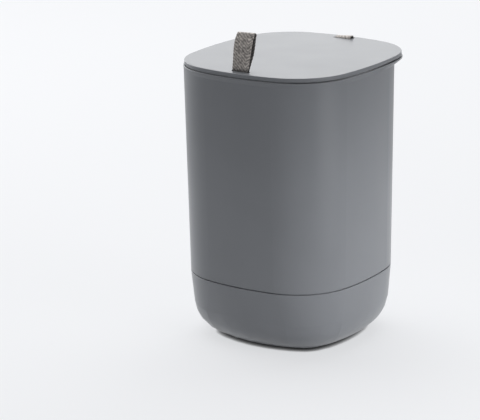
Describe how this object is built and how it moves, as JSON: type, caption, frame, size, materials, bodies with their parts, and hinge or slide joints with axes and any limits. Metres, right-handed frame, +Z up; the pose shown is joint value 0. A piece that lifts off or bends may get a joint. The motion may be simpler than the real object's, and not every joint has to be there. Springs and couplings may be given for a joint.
{
  "type": "bokashi bin",
  "caption": "Kitchen bokashi bin: soft-square plastic bucket with a strainer on a round-bottomed base, flat lid with webbing pull and webbing hinge.",
  "frame": {"origin": "centre of the flat foot under the base, on the surface that the bin stands on", "axes": "+Z up, -Y towards the front, where the pull is; +Y towards the hinge; +X to the right seen from the front"},
  "size_m": [0.165, 0.1778, 0.2765],
  "materials": {
    "grey_plastic": "satin",
    "strainer_plastic": "satin",
    "seal_silicone": "matte",
    "webbing": "woven",
    "rod_plastic": "matte"
  },
  "bodies": {
    "base": {"base_tray": "grey_plastic"},
    "bucket": {"bucket": "grey_plastic", "tray_seal": "seal_silicone", "hinge_strap": "webbing"},
    "strainer": {"strainer": "strainer_plastic"},
    "lid": {"lid_shell": "grey_plastic", "lid_liner": "grey_plastic", "lid_gasket": "seal_silicone", "pull_strap_bar": "rod_plastic"},
    "pull": {"pull_strap": "webbing"}
  },
  "joints": [
    {"name": "bucket_lift", "type": "slide", "parent": "base", "child": "bucket", "axis": [0, 0, 1], "range_m": [0, 0.08]},
    {"name": "strainer_lift", "type": "slide", "parent": "bucket", "child": "strainer", "axis": [0, 0, 1], "range_m": [0, 0.16]},
    {"name": "lid_hinge", "type": "hinge", "parent": "bucket", "child": "lid", "pos_m": [0, 0.0958, 0.2413], "axis": [-1, 0, 0], "range_deg": [0, 110], "deforming": ["hinge_strap"]},
    {"name": "pull_flop", "type": "hinge", "parent": "lid", "child": "pull", "pos_m": [0, -0.0723, 0.245], "axis": [1, 0, 0], "range_deg": [-60, 75], "deforming": ["pull_strap"]}
  ]
}
